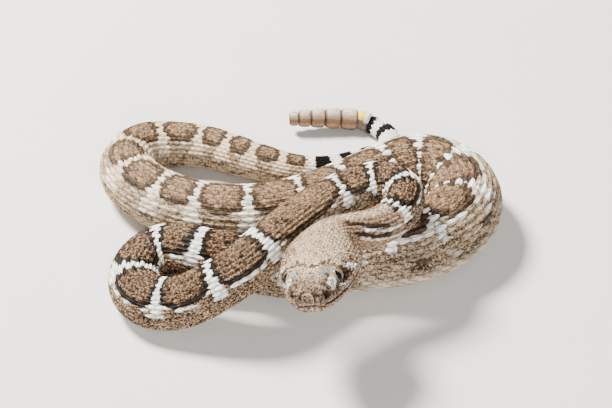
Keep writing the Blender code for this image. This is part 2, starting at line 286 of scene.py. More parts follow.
    def skin(self, s, angle, out=0.0):
        """Points on the skin, or as far over it as out says. Below FRONT the rings close the snout."""
        ring = np.clip((s - FRONT + CAP) / CAP, 0, 1)
        inner = np.maximum(s, FRONT)
        right, up = flesh(inner, angle)
        lift = out - coat(inner)
        grow = ring * (1 + lift / np.hypot(right, up))
        return self.place(inner, right * grow, up * grow, DOME * (1 - ring ** 2) + lift * (1 - ring))


snake = Snake()


def maths(operation, swapped=False):
    """A method that works on its own value and, for most operations, another one."""
    def method(*values):
        inputs = dict(enumerate(reversed(values) if swapped else values))
        return values[0].paint.node("ShaderNodeMath", {"operation": operation}, inputs)
    return method


class Wire:
    """A shader value that can be used in sums and products."""

    def __init__(self, paint, socket):
        self.paint, self.socket = paint, socket

    __add__, __radd__ = maths("ADD"), maths("ADD", swapped=True)
    __sub__, __rsub__ = maths("SUBTRACT"), maths("SUBTRACT", swapped=True)
    __mul__, __rmul__ = maths("MULTIPLY"), maths("MULTIPLY", swapped=True)
    __truediv__, __abs__ = maths("DIVIDE"), maths("ABSOLUTE")
    larger, smaller = maths("MAXIMUM"), maths("MINIMUM")


class Paint:
    """A material and the few kinds of node that its pattern is written with."""

    def __init__(self, name, inputs):
        self.material = bpy.data.materials.new(name)
        self.material.use_nodes = True
        self.tree = self.material.node_tree
        self.shader = self.tree.nodes["Principled BSDF"]
        for key, value in inputs.items():
            self.shader.inputs[key].default_value = value

    def node(self, kind, settings, values, out=0):
        made = self.tree.nodes.new(kind)
        for key, value in settings.items():
            setattr(made, key, value)
        for key, value in values.items():
            if isinstance(value, Wire):
                self.tree.links.new(value.socket, made.inputs[key])
            else:
                made.inputs[key].default_value = value
        return Wire(self, made.outputs[out])

    def parts(self, name):
        """The three numbers of one of the piece's own attributes."""
        read = self.node("ShaderNodeAttribute", {"attribute_name": name}, {}, out=1)
        split = self.node("ShaderNodeSeparateXYZ", {}, {0: read})
        return [Wire(self, output) for output in split.socket.node.outputs]

    def noise(self, size, detail=1.0, roughness=0.5):
        """Noise whose lumps are about size millimetres across."""
        place = self.node("ShaderNodeTexCoord", {}, {}, out="Object")
        return self.node("ShaderNodeTexNoise", {}, {
            "Vector": place, "Scale": 1 / (size * MM), "Detail": detail, "Roughness": roughness})

    def step(self, value, low, high):
        """0 where the value is at low, rising smoothly to 1 at high, which may be the smaller."""
        return self.node("ShaderNodeMapRange", {"interpolation_type": "SMOOTHSTEP"},
                         {0: value, 1: low, 2: high})

    def mix(self, share, first, second, way="MIX"):
        colours = {key: (*value, 1) if isinstance(value, tuple) else value
                   for key, value in ((6, first), (7, second))}
        return self.node("ShaderNodeMix", {"data_type": "RGBA", "blend_type": way, "clamp_factor": True},
                         {0: share, **colours}, out=2)

    def feed(self, name, wire):
        self.tree.links.new(wire.socket, self.shader.inputs[name])

    def relief(self, height, depth):
        """Bump from a height that runs from 0 to 1 over depth millimetres."""
        values = {"Height": height, "Distance": depth * MM, "Strength": 1.0}
        self.feed("Normal", self.node("ShaderNodeBump", {}, values))


WHITE = (0.93, 0.91, 0.85)
CREAM = (0.78, 0.62, 0.43)
BLACK = (0.005, 0.004, 0.003)
DARK = (0.012, 0.007, 0.004)
BROWN = (0.1, 0.051, 0.025)
WARM = (0.38, 0.25, 0.15)
TAN = (0.155, 0.09, 0.055)
PALE = (0.5, 0.39, 0.265)
LIGHT = (0.55, 0.38, 0.23)
BELLY_TINT = (0.5, 0.42, 0.31)

# Dark stains of the flanks: distance from the snout, share of the way round from the ridge.
STAINS = ((262.5, 0.56), (273, 0.6), (283, 0.5))
# Stripes of the nape: place at 32 mm from the snout, how fast it moves down, half width and ends.
NAPE_STRIPES = ((3.2, 0.2, 0.95, 31, 46.5), (6.2, 0.22, 0.8, 33, 46))
NAPE_LINES = ((4.6, 0.2), (7.5, 0.22))
# Black rings of the tail: middle and half width.
TAIL_RINGS = ((497.5, 2.6), (506, 2.2), (514, 2.2), (531, 1.9), (538.6, 1.9))


def spot(paint, x, y, middle, reach, blur=0.2):
    """1 inside an oval round the middle, falling to 0 past its edge."""
    across, along = (x - middle[0]) / reach[0], (y - middle[1]) / reach[1]
    return paint.step(across * across + along * along, 1 + blur, 1 - blur)


def band(paint, value, middle, reach):
    """1 where the value is at the middle, falling to 0 at reach on each side of it."""
    return paint.step(abs(value - middle), reach, reach * 0.6)


def body_markings(paint, s, round_, t, length, pale, bar, limit, chance):
    """Blotches with dark broken edges, white bars between them, and the spots of the flanks."""
    cloud = paint.noise(4, 2)
    ragged = paint.noise(1.3) - 0.5
    uneven = paint.noise(2.6) - 0.5
    from_bar, from_middle = (1 - t) * length * 0.5, t * length * 0.5
    ground = paint.mix(pale, TAN, PALE)
    ground = paint.mix(paint.step(cloud + ragged * 0.2, 0.52, 0.62) * 0.6, ground, BROWN)
    for away, middle, wide, strength in ((from_bar, 0.44, 0.05, 0.7), (from_middle, 0.6, 0.045, 0.8)):
        spots = paint.step(away + uneven * 5, 3.4, 1.8) * band(paint, round_ + ragged * 0.08, middle, wide)
        ground = paint.mix(spots * strength, ground, DARK)
    side = limit - t * t * 0.03 - t * t * t * t * 0.19 - round_ + ragged * 0.03
    inside = paint.step(side, -0.006, 0.006)
    colour = paint.mix(inside, ground, paint.mix(pale * 0.6, BROWN, WARM))

    # Each scale is peppered dark and light, the dark more so on the blotches.
    specks = paint.noise(0.6, 2, 0.6)
    dark = paint.step(specks, 0.495, 0.44) * (1 - pale * 0.5)
    light = paint.step(specks, 0.53, 0.58) * (1 - inside * 0.5)
    colour = paint.mix(dark * 0.92, colour, DARK)
    colour = paint.mix(light * 0.75, colour, LIGHT)
    for middle in STAINS:
        stain = spot(paint, s + ragged * 6, round_ + ragged * 0.12, middle, (2.1, 0.055), 0.5)
        colour = paint.mix(stain * 0.8, colour, DARK)

    # Black along the blotch's edge, white bars between blotches, and a broken white line outside.
    end = from_bar - bar * (0.6 - pale * 0.2 + round_ * (1.9 + pale * 2.2)) + ragged * 1.1
    edges = paint.step(side, 0.1, 0.055) * 0.7 + paint.step(end, 2.2, 1.1) * 0.7 + uneven * 1.7
    colour = paint.mix(paint.step(edges, 0.27, 0.37) * inside * (0.97 - pale * 0.35), colour, BLACK)
    white = paint.step(end, 0.15, -0.15) * paint.step(round_ + ragged * 0.08, 0.45, 0.38)
    rim = paint.step(side, -0.065, -0.05) * (1 - inside) * paint.step(chance + uneven * 1.5, 0.4, 0.55)
    chalk = paint.mix(paint.step(s, 345, 430), WHITE, CREAM)
    chalk = paint.mix(paint.step(chance + uneven * 0.8, 0.8, 1.0) * 0.35, chalk, TAN)
    colour = paint.mix((white + rim * (0.8 - pale * 0.45)).smaller(1), colour, chalk)
    stray = paint.step(chance, 0.95, 0.98) * (pale + 0.1) * (1 - inside)
    colour = paint.mix(stray.smaller(1) * 0.4, colour, chalk)
    belly = paint.step(round_, 0.66, 0.74)
    return paint.mix(belly, colour, paint.mix(paint.step(cloud, 0.5, 0.65) * 0.4, BELLY_TINT, TAN))


def neck_markings(paint, colour, s, side):
    """Two dark stripes on each side of the nape with pale lines between them."""
    wavy = (paint.noise(2.2) - 0.5) * 1.2
    dots = paint.step(paint.noise(0.7, 2), 0.47, 0.41)
    nape = paint.mix(paint.step(side + wavy, 2.2, 1.5), (0.3, 0.19, 0.12), (0.5, 0.38, 0.27))
    nape = paint.mix(dots * 0.7, nape, DARK)
    for start, gain, reach, low, high in NAPE_STRIPES:
        stripe = band(paint, side + wavy - (s - 32) * gain, start, reach)
        stripe = stripe * paint.step(s, low, low + 1) * paint.step(s, high, high - 1)
        nape = paint.mix(stripe * 0.9, nape, DARK)
    for start, gain in NAPE_LINES:
        line = band(paint, side + wavy - (s - 32) * gain, start, 0.55) * paint.step(s, 35, 38)
        nape = paint.mix(line * 0.75, nape, WHITE)
    return paint.mix(paint.step(s + wavy, 50, 48.5), colour, nape)


def head_markings(paint, colour, s, round_, side, plate, rim):
    """Pale crown, brown snout, white patch before the eye and dark band behind it, pale lips."""
    cloud = paint.noise(3, 2)
    dots = paint.noise(0.5)
    wavy = (paint.noise(1.6) - 0.5) * 1.4
    mottle = paint.noise(0.9, 2, 0.6)
    dark = (0.03, 0.016, 0.009)
    crown = paint.mix(paint.step(cloud, 0.42, 0.6) * 0.6, (0.52, 0.385, 0.26), (0.36, 0.25, 0.16))
    temples = paint.step(side, 7, 11) * paint.step(mottle, 0.46, 0.54)
    crown = paint.mix(temples * 0.75, crown, (0.15, 0.085, 0.045))
    snout = paint.mix(paint.step(mottle, 0.43, 0.58), (0.11, 0.06, 0.036), (0.36, 0.25, 0.17))
    crown = paint.mix(paint.step(s + wavy, 7.4, 5.2) * 0.9, crown, snout)
    brow = spot(paint, s + wavy * 0.3, side, (8.0, 4.3), (1.5, 1.4))
    crown = paint.mix(brow * 0.85, crown, (0.3, 0.285, 0.28))
    across = s - 10.4 - (side - 11.5) * 0.42 + wavy * 0.4
    cheek = paint.step(side, 9.6, 10.4) * paint.step(side, 17.5, 16)
    crown = paint.mix(band(paint, abs(across), 2.8, 1.1) * cheek * 0.92, crown, WHITE)
    brown = paint.mix(paint.step(mottle, 0.43, 0.57), (0.045, 0.026, 0.014), (0.34, 0.22, 0.13))
    crown = paint.mix(paint.step(abs(across), 1.9, 1.5) * cheek, crown, brown)
    white = spot(paint, s + wavy * 0.4, side + wavy * 0.4, (5.3, 7.2), (1.5, 1.7))
    crown = paint.mix(white * 0.88, crown, WHITE)
    arc = band(paint, s + wavy * 0.3 - side * side * 0.1, 10.1, 0.8) * paint.step(side, 6, 4.8)
    freckles = 0.04 + arc * 0.17 + paint.step(side, 5, 10) * 0.06
    freckles = freckles + paint.step(s, 9, 5) * 0.05 - white * 0.08
    crown = paint.mix(paint.step(dots - 0.5 + freckles, 0.08, 0.17) * 0.95, crown, dark)
    crown = paint.mix(spot(paint, s, side, (7.9, 0), (0.5, 0.42)), crown, (0.07, 0.07, 0.1))
    lips = paint.step(plate, 0.7, 0.8)
    lip = paint.mix(paint.step(mottle, 0.42, 0.58), (0.42, 0.31, 0.22), (0.13, 0.07, 0.042))
    crown = paint.mix(lips * 0.85, crown, paint.mix(paint.step(dots, 0.55, 0.6) * 0.8, lip, dark))
    pale_rim = paint.step(rim, 0.75, 0.92) * paint.step(plate, 0.4, 0.45) * (1 - lips) * 0.6
    crown = paint.mix(pale_rim, crown, (0.62, 0.52, 0.4))
    under = paint.step(round_, 0.68, 0.74) * (1 - lips)
    return paint.mix(paint.step(s + wavy, 31, 27), colour, paint.mix(under, crown, (0.4, 0.31, 0.22)))


def tail_markings(paint, colour, s):
    """Chalky tail with its black rings."""
    ragged = paint.noise(1.3) - 0.5
    rings = 0
    for middle, half in TAIL_RINGS:
        rings = paint.step(abs(s - middle) + ragged * 0.6, half + 0.15, half - 0.15).larger(rings)
    tail = paint.mix(paint.step(paint.noise(4, 2), 0.4, 0.7) * 0.25, (0.9, 0.88, 0.82), (0.55, 0.49, 0.4))
    tail = paint.mix(rings, tail, BLACK)
    return paint.mix(paint.step(s + ragged, 492.5, 493.5), colour, tail)


def skin_paint():
    """The snake's markings, read by the skin and by every scale."""
    paint = Paint("snake_skin", {"Roughness": 0.52, "Specular IOR Level": 0.08})
    s, round_, t = paint.parts("body")
    length, pale, keel = paint.parts("blotch")
    along, aside, chance = paint.parts("scale")
    bar, limit, arc = paint.parts("style")
    deep, plate, rim = paint.parts("plate")
    aside, side = abs(aside), abs(arc)

    colour = body_markings(paint, s, round_, t, length, pale, bar, limit, chance)
    colour = neck_markings(paint, colour, s, side)
    colour = tail_markings(paint, colour, s)
    colour = head_markings(paint, colour, s, round_, side, plate, rim)

    # Painted shade darkens each scale at its root, at its edges and in two grooves beside the keel, and a
    # painted highlight lightens the keel; each scale also darkens at its tip and varies at random in
    # lightness.
    ridge = paint.step(aside, 0.22, 0.08) * keel
    groove = paint.step(aside, 0.1, 0.3) * paint.step(aside, 0.75, 0.5) * keel
    edge = paint.step(aside, 0.82, 1.0) * (1 - plate)
    crest = paint.step(along, 0.3, 0.5) * paint.step(along, 1.0, 0.85)
    tone_and_painted_light = 0.8 + chance * 0.4 + ridge * crest * 0.3 - groove * 0.12 - edge * 0.4
    root = paint.step(along, 0.12, 0.5) * 0.7 + 0.3
    tone_and_painted_light = tone_and_painted_light * root * (1 - paint.step(along, 0.88, 1.0) * 0.4 * (1 - plate))
    colour = paint.mix(1.0, colour, tone_and_painted_light, way="MULTIPLY")
    # Painted shade darkens the skin in its openings: eye sockets, nostrils, heat pits and the mouth line.
    colour = paint.mix(paint.step(deep, 0.08, 0.35), colour, (0.02, 0.005, 0.003))
    paint.feed("Base Color", colour)
    paint.feed("Roughness", 0.42 + paint.noise(0.5) * 0.22 - ridge * 0.08)
    paint.relief(paint.noise(0.2, 1), 0.03)
    return paint.material


def eye_paint():
    """Mottled grey-green iris, an upright slit and a wet gloss."""
    paint = Paint("eye_gloss", {"Roughness": 0.07, "Specular IOR Level": 0.12, "Coat Weight": 0.06,
                                "Coat Roughness": 0.04})
    x, y, z = paint.parts("iris")
    mottle = paint.noise(0.35, 3, 0.65)
    iris = paint.mix(paint.step(mottle, 0.4, 0.6), (0.07, 0.048, 0.028), (0.27, 0.2, 0.125))
    iris = paint.mix(paint.step(y, -0.2, -0.6) * 0.5, iris, (0.08, 0.045, 0.022))
    iris = paint.mix(paint.step(z, 0.5, 0.25) * 0.8, iris, (0.05, 0.03, 0.017))
    wide = 0.34 * (1 - y * y * 1.3)
    iris = paint.mix(band(paint, abs(x) - wide, 0, 0.06) * 0.4, iris, (0.42, 0.34, 0.21))
    pupil = paint.step(abs(x) - wide, 0.02, -0.02) * paint.step(z, 0, 0.1)
    paint.feed("Base Color", paint.mix(pupil, iris, (0.004, 0.004, 0.004)))
    return paint.material


def rattle_paint():
    """Dry horn, ivory grey above and brown below, the brown partly dirt and partly painted shade, with a
    dab of yellow paint at its base.
    """
    paint = Paint("rattle_horn", {"Roughness": 0.42, "Specular IOR Level": 0.2})
    along, up, part = paint.parts("horn")
    streaks = paint.noise(1.1, 3, 0.6)
    level = up + (streaks - 0.5) * 0.5
    # Below, the horn turns brown and then near black, partly dirt and partly painted shade; a lighter band
    # crosses its lower half, and a dark band of painted shade lies along the groove between its lobes.
    horn = paint.mix(paint.step(level, -0.75, -0.3), (0.03, 0.011, 0.004), (0.2, 0.1, 0.045))
    horn = paint.mix(paint.step(level, -0.15, 0.95), horn, (0.62, 0.49, 0.38))
    horn = paint.mix(band(paint, level, -0.32, 0.3) * 0.5, horn, (0.42, 0.27, 0.16))
    horn = paint.mix(band(paint, level, 0.1, 0.26) * 0.6, horn, (0.15, 0.08, 0.045))
    horn = paint.mix(paint.step(streaks, 0.48, 0.66) * 0.5, horn, (0.15, 0.08, 0.045))
    horn = paint.mix(paint.step(abs(along - 0.46), 0.36, 0.5) * 0.8, horn, (0.05, 0.025, 0.012))
    first = paint.step(part, 0.12, 0.08)
    horn = paint.mix(first * 0.7, horn, (0.1, 0.085, 0.07))
    white = first * paint.step(along, 0.5, 0.4) * paint.step(up, 0.1, 0.4)
    horn = paint.mix(white, horn, (0.75, 0.74, 0.7))
    dab = first * paint.step(up + (streaks - 0.5) * 0.4, 0.4, 0.55) * paint.step(along, 0.3, 0.42)
    horn = paint.mix(dab, horn, (0.85, 0.62, 0.02))
    paint.feed("Base Color", horn)
    paint.feed("Roughness", 0.3 + streaks * 0.3)
    paint.relief(paint.noise(0.35, 2), 0.05)
    return paint.material


def fill_attribute(mesh, name, *columns):
    """Give the vertices three numbers each; a column is one number for all or one for each."""
    values = np.empty((len(mesh.vertices), 3), "f")
    for k, column in enumerate(columns):
        values[:, k] = np.ravel(column)
    mesh.attributes.new(name, "FLOAT_VECTOR", "POINT").data.foreach_set("vector", values.ravel())


# Markings at a distance from the snout: half width of the white bars, how far round a blotch reaches,
# paleness, and how far the pattern stands round from the ridge where the body lies rolled over.
BAR_HALF = [(0, 0.5), (60, 0.9), (85, 1.1), (110, 1.4), (205, 1.5), (250, 1), (275, 0.8), (300, 1),
            (330, 1.3), (360, 1.5), (420, 1.6), (490, 1.7)]
LIMIT = [(0, 0.2), (60, 0.3), (110, 0.33), (205, 0.32), (270, 0.31), (330, 0.3), (360, 0.26), (420, 0.23),
         (490, 0.2)]
PALENESS = [(0, 0.2), (60, 0.05), (75, 0.3), (95, 0.7), (112, 0.5), (125, 0.1), (205, 0.1), (250, 0.5),
            (300, 0.8), (420, 0.85), (490, 0.9)]
TWIST = [(0, 0), (225, 0), (250, 0.16), (300, 0.16), (335, 0.05), (355, 0)]


def mark(mesh, s, share, scale, keel=0, plate=(0, 0, 0)):
    """Give a mesh what the markings read: its places on the body, in a blotch and in a scale."""
    s, share, bars = np.ravel(s), np.ravel(share), np.array(BARS)
    i = np.clip(np.searchsorted(bars, s) - 1, 0, len(bars) - 2)
    length = bars[i + 1] - bars[i]
    t = np.abs(np.clip(2 * (s - bars[i]) / length - 1, -1, 1))
    bar, limit, pale, twist = [np.interp(s, *np.array(table).T)
                               for table in (BAR_HALF, LIMIT, PALENESS, TWIST)]
    share = (share + 1) % 2 - 1
    share = share - twist * (1 - ease(np.abs(share), 0.6, 0.9))
    fill_attribute(mesh, "body", s, np.abs(share), t)
    fill_attribute(mesh, "blotch", length, pale, keel)
    fill_attribute(mesh, "style", bar, limit, share * snake.half_round(s))
    fill_attribute(mesh, "scale", *scale)
    fill_attribute(mesh, "plate", *plate)


def coordinates(mesh):
    flat = np.empty(len(mesh.vertices) * 3)
    mesh.vertices.foreach_get("co", flat)
    return flat.reshape(-1, 3)


def finished(bm, name):
    """A new mesh with what bm holds."""
    mesh = bpy.data.meshes.new(name)
    bm.to_mesh(mesh)
    bm.free()
    return mesh


def put(name, data):
    """A new object in the scene."""
    thing = bpy.data.objects.new(name, data)
    bpy.context.scene.collection.objects.link(thing)
    return thing


def add_piece(name, mesh, material, replaced=(), crisp=None):
    mesh.materials.append(material)
    mesh.shade_smooth()
    if crisp:
        mesh.set_sharp_from_angle(angle=math.radians(crisp))
    piece = put(name, mesh)
    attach(piece, "root")
    if replaced:
        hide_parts(*replaced)


def from_opening(s, right, up, opening):
    """Distance over the head's side from one of its openings."""
    at, out, above = opening
    return np.sqrt((s - at) ** 2 + (np.abs(right) - out) ** 2 * 0.3 + (up - above) ** 2)


def dents(s, right, up, socket=2.2):
    """How far the skin sinks at its openings: sockets, nostrils, heat pits and the mouth line."""
    deep = np.zeros(np.shape(s))
    for opening, radius, depth in ((EYE, EYE_RADIUS, socket), (NOSTRIL, 0.85, 1.1), (PIT, 0.7, 1.1)):
        away = from_opening(s, right, up, opening)
        deep = np.maximum(deep, depth * (1 - ease(away, radius * 0.75, radius * 1.1)))
    mouth = 0.6 * bump(up, mouth_height(s), 0.4) * (1 - ease(s, MOUTH_CORNER - 1.5, MOUTH_CORNER))
    return np.maximum(deep, mouth)


def mouth_height(s):
    """The mouth line sinks a little from the snout and turns up at its corner."""
    return -1 - 0.9 * np.sin(np.clip(s / 16, 0, 1) * math.pi / 2) + 0.7 * np.maximum(0, (s - 17) / 4) ** 2


def tube(name, rows, turns, surface, describe):
    """A closed tube: a grid wrapped round, with surface() placing a row's distance and its turn."""
    bm = bmesh.new()
    bmesh.ops.create_grid(bm, x_segments=len(rows) - 1, y_segments=turns, size=0.5)
    mesh = finished(bm, name)
    flat = coordinates(mesh)
    along = np.asarray(rows)[np.round((flat[:, 0] + 0.5) * (len(rows) - 1)).astype(int)]
    share = 2 * flat[:, 1]
    mesh.vertices.foreach_set("co", surface(along, share).ravel())
    describe(mesh, along, share)
    bm = bmesh.new()
    bm.from_mesh(mesh)
    bmesh.ops.remove_doubles(bm, verts=bm.verts, dist=2e-7)
    bmesh.ops.holes_fill(bm, edges=bm.edges, sides=0)
    bmesh.ops.recalc_face_normals(bm, faces=bm.faces)
    bm.to_mesh(mesh)
    bm.free()
    return mesh


def make_skin(material):
    """The skin's rings stand closer on the head, and closer still on the front of the snout."""
    turns, fine, coarse, behind_head, end = 160, 0.3, 1.3, 28, TAIL_END + 0.4
    rows = np.r_[np.linspace(FRONT - CAP + fine, FRONT, 22), np.arange(FRONT + fine, behind_head, fine),
                 np.arange(behind_head + 0.5, end, coarse), end]

    def sinking(s, share, *socket):
        ring = np.clip((s - FRONT + CAP) / CAP, 0, 1)
        right, up = flesh(np.maximum(s, FRONT), snake.angle(s, share))
        return dents(np.maximum(s, 0), right * ring, up * ring, *socket)

    def surface(s, share):
        return snake.skin(s, snake.angle(s, share), -sinking(s, share))

    def describe(mesh, s, share):
        """Between scales the skin takes the painted shade of their roots and edges, and painted shade
        darkens it in its openings.
        """
        mark(mesh, s, share, (0.15, 0.9, 0.2), plate=(sinking(s, share, 0.3), 0, 0))

    nodes = ["head", "neck", "tail"] + [f"body_{number}" for number in range(1, 11)]
    add_piece("skin", tube("skin", rows, turns, surface, describe), material, nodes)


def plain_scale(columns, across):
    """A closed scale before it is shaped: x from root 0 to tip 1, y -1 to 1, z 1 on top, 0 below."""
    bm = bmesh.new()
    bmesh.ops.create_grid(bm, x_segments=columns, y_segments=across, size=0.5)
    bmesh.ops.translate(bm, vec=(0.5, 0, 1), verts=bm.verts)
    bmesh.ops.scale(bm, vec=(1, 2, 1), verts=bm.verts)
    rim = [edge for edge in bm.edges if edge.is_boundary]
    for vert in bm.verts:
        vert.co.y = math.copysign(abs(vert.co.y) ** 1.45, vert.co.y)       # rows close in on the keel
    made = bmesh.ops.extrude_edge_only(bm, edges=rim)
    down = [item for item in made["geom"] if isinstance(item, bmesh.types.BMVert)]
    bmesh.ops.translate(bm, vec=(0, 0, -1), verts=down)
    bmesh.ops.holes_fill(bm, edges=bm.edges, sides=0)
    bmesh.ops.recalc_face_normals(bm, faces=bm.faces)
    return finished(bm, "plain_scale")


def repeated(mesh, count):
    """The mesh count times over, one copy after the other."""
    thing = put("row", mesh)
    row = thing.modifiers.new("row", "ARRAY")
    row.count = count
    row.use_relative_offset = False
    made = bpy.data.meshes.new_from_object(thing.evaluated_get(bpy.context.evaluated_depsgraph_get()))
    bpy.data.objects.remove(thing)
    return made


# Half widths of a scale from its root to its tip: the keeled kind, and the smooth kind.
POINTED = ((0, 0.2, 0.4, 0.6, 0.8, 1), (0.5, 0.82, 0.98, 0.94, 0.68, 0.16))
ROUNDED = ((0, 0.2, 0.4, 0.6, 0.8, 1), (0.6, 0.9, 1, 1, 0.86, 0.5))


def lay_scales(name, plain, s, share, wide, long, tall, keel, blunt, chance, material, span):
    """Joined copies of a plain scale, each shaped, bent to the skin and set at its own place."""
    count = len(s)
    mesh = repeated(plain, count)
    mesh.name = name
    flat = coordinates(mesh).reshape(count, -1, 3)
    u, v, top = flat[..., 0], flat[..., 1], flat[..., 2]
    s, share, wide, long, tall, keel, blunt, chance = [
        values[:, None] for values in (s, share, wide, long, tall, keel, blunt, chance)]
    profile = np.interp(u, *POINTED) * (1 - blunt) + np.interp(u, *ROUNDED) * blunt
    aside = v * profile * wide * SPREAD
    at = s + (u - 0.4) * long * OVERLAP
    ridge = keel * np.clip(1 - np.abs(v) / 0.3, 0, 1) * np.clip(1.15 - np.abs(2 * u - 1.15) ** 3, 0, 1)
    height = tall * np.where(top > 0.5, 0.12 + 0.42 * u - 0.16 * v ** 2 + 0.45 * ridge, -0.4)
    at = np.maximum(at, FRONT)
    place = share + aside / snake.half_round(at)
    points = snake.skin(at, snake.angle(at, place), height)
    mesh.vertices.foreach_set("co", points.ravel())
    # A marking's edge runs half by whole scales and half straight across them.
    every = np.ones(u.shape)
    mark(mesh, s + (at - s) * 0.5, share + (place - share) * 0.5, (u, v, chance * every), keel * every)
    start, end = span
    inset = np.where(top > 0.5, 0.8, 1.0)
    bake = np.stack([0.02 + 0.96 * (s - start) / (end - start) + 0.003 * inset * (u - 0.5),
                     0.5 + 0.48 * ((share + 1) % 2 - 1) + 0.0015 * inset * v], axis=-1).reshape(-1, 2)
    unwrap(mesh, bake)
    add_piece(name, mesh, material, crisp=28)


def unwrap(mesh, bake):
    """Lay the mesh flat on a square, each vertex at its own place."""
    corners = np.empty(len(mesh.loops), "i")
    mesh.loops.foreach_get("vertex_index", corners)
    mesh.uv_layers.new(name="OFBake").data.foreach_set("uv", bake[corners].astype("f").ravel())


def numbered():
    """Distances from the snout, and how many scales of one row lie before each."""
    step = 0.1
    s = np.arange(0, TAIL_END, step)
    return s, np.cumsum(step / scale_size(s)[1])


def scale_places(start, end):
    """Staggered rows of scales along a length: their distances, and their rows counted from the ridge."""
    s, number = numbered()
    first, last = np.interp((start, end), s, number)
    most, found = 40, []
    for row in range(-most, most + 1):
        shift = 0.5 * (row % 2)
        steps = np.arange(math.ceil(first - shift), last - shift) + shift
        found.append(np.stack([np.interp(steps, number, s), np.full(len(steps), row)], axis=-1))
    return np.concatenate(found)


# The named lengths behind the head and where each begins.
LENGTHS = [("neck", 28), ("body_1", 90), ("body_2", 138), ("body_3", 178), ("body_4", 225),
           ("body_5", 268), ("body_6", 310), ("body_7", 352), ("body_8", 396), ("body_9", 420),
           ("body_10", 462), ("tail", 500)]


# Plates of the crown and snout: distance from the snout, from the ridge, half length and width.
LARGE_PLATES = [(8.4, 4.35, 2.7, 1.5), (4.4, 6.6, 1.1, 1.2), (3.2, 4.7, 0.95, 0.95), (5.3, 4.6, 1.0, 0.85),
                (4.6, 8.9, 0.9, 0.9)]


def clear_of_plates(s, share):
    """Where the head's small scales are left out for its eyes, openings, plates and mouth."""
    gap, first, lip_top, lip_bottom = 0.25, 2.9, 1.75, -2.9
    right, up = flesh(s, snake.angle(s, share))
    arc = np.abs(share) * snake.half_round(s)
    keep = s > first
    for opening, radius in ((EYE, 3.05), (PIT, 1.2), (NOSTRIL, 1.7)):
        keep &= from_opening(s, right, up, opening) > radius
    for at, middle, length, width in LARGE_PLATES:
        keep &= ((s - at) / (length + gap)) ** 2 + ((arc - middle) / (width + gap)) ** 2 > 1
    over = up - mouth_height(s)
    return keep & ((s > MOUTH_CORNER + 0.1) | (over > lip_top) | (over < lip_bottom))


def make_coat(material):
    """Small scales over each length, blunter and without a keel towards the belly and the snout."""
    plain = plain_scale(5, 4)
    random = np.random.default_rng(7)
    starts = [FRONT] + [start for _, start in LENGTHS]
    for name, start, end in zip(["head"] + [name for name, _ in LENGTHS], starts, starts[1:] + [TAIL_END]):
        s, row = scale_places(start, end).T
        around, (wide, long) = snake.half_round(s), scale_size(s)
        edge = around - BELLY_EDGE * girth(s)[0] + 0.3 * wide
        keep = np.abs(row) * wide < np.where(s < 27, around - 0.5 * wide, edge)
        if name == "head":
            keep &= clear_of_plates(s, row * wide / around)
        s, row, wide, long, edge = [values[keep] for values in (s, row, wide, long, edge)]
        chance = random.random(len(s))
        s = s + long * 0.05 * (random.random(len(s)) - 0.5)
        from_edge = (edge - np.abs(row) * wide) / wide
        keel = np.clip(from_edge / 2.5, 0, 1) * np.clip((s - 6) / 14, 0, 1)
        blunt = np.clip(1.5 - from_edge / 2, 0, 1) + np.clip((20 - s) / 10, 0, 1)
        share = row * wide / snake.half_round(s)
        widened = wide * (1 + 0.15 * np.clip(1.5 - from_edge, 0, 1))
        lay_scales(f"scales_{name}", plain, s, share, widened, long, coat(s), keel, np.clip(blunt, 0, 1),
                   chance, material, (start, end))


def lay_plates(name, rows, material):
    """Joined plates, each laid on the head by a chart of it, on one side or the other.

    A row gives the chart, the side, the middle's two places, half length and width, turn in degrees,
    roundness, height, kind, and how much narrower the plate's far end is.
    """
    charts = {"crown": lambda s, arc: (s, snake.angle(s, arc / snake.half_round(s))),
              "cheek": lambda s, up: (s, snake.side(s, up)), "front": snake.front, "lip": snake.lip}
    mesh = repeated(plain_scale(6, 6), len(rows))
    mesh.name = name
    flat = coordinates(mesh).reshape(len(rows), -1, 3)
    s, angle, height, rim, kind, chance = np.empty((6, *flat.shape[:2]))
    for i, (chart, side, at, middle, half, width, turn, roundness, tall, number, taper) in enumerate(rows):
        p, q, top = 2 * flat[i, :, 0] - 1, flat[i, :, 1], flat[i, :, 2] > 0.5
        rim[i] = np.maximum(np.abs(p), np.abs(q))
        x = half * p * np.sqrt(1 - roundness * q * q / 2)
        y = width * q * np.sqrt(1 - roundness * p * p / 2) * (1 - taper * p)
        along, across = math.cos(math.radians(turn)), math.sin(math.radians(turn))
        s[i], angle[i] = charts[chart](at + x * along - y * across, middle + x * across + y * along)
        angle[i] *= side
        height[i] = np.where(top, tall * (1 - 0.6 * rim[i] ** 5), -0.25)
        kind[i], chance[i] = number, (math.sin(i * 12.9) + 1) / 2
    mesh.vertices.foreach_set("co", snake.skin(s, angle, height).ravel())
    share = snake.share(s, angle)
    mark(mesh, np.maximum(s, FRONT), share, (1, 0.3 * rim, chance), plate=(0, kind, rim))
    unwrap(mesh, np.stack([0.02 + 0.96 * (s + 3) / 31, 0.5 + 0.48 * share], axis=-1).reshape(-1, 2))
    add_piece(name, mesh, material, crisp=50)


def spans(first, last, count):
    """Starts, middles and half lengths of plates in a row, with small gaps between them."""
    edges = np.linspace(first, last, count + 1)
    return [(start, (start + end) / 2, (end - start) / 2 - 0.03)
            for start, end in zip(edges[:-1], edges[1:])]


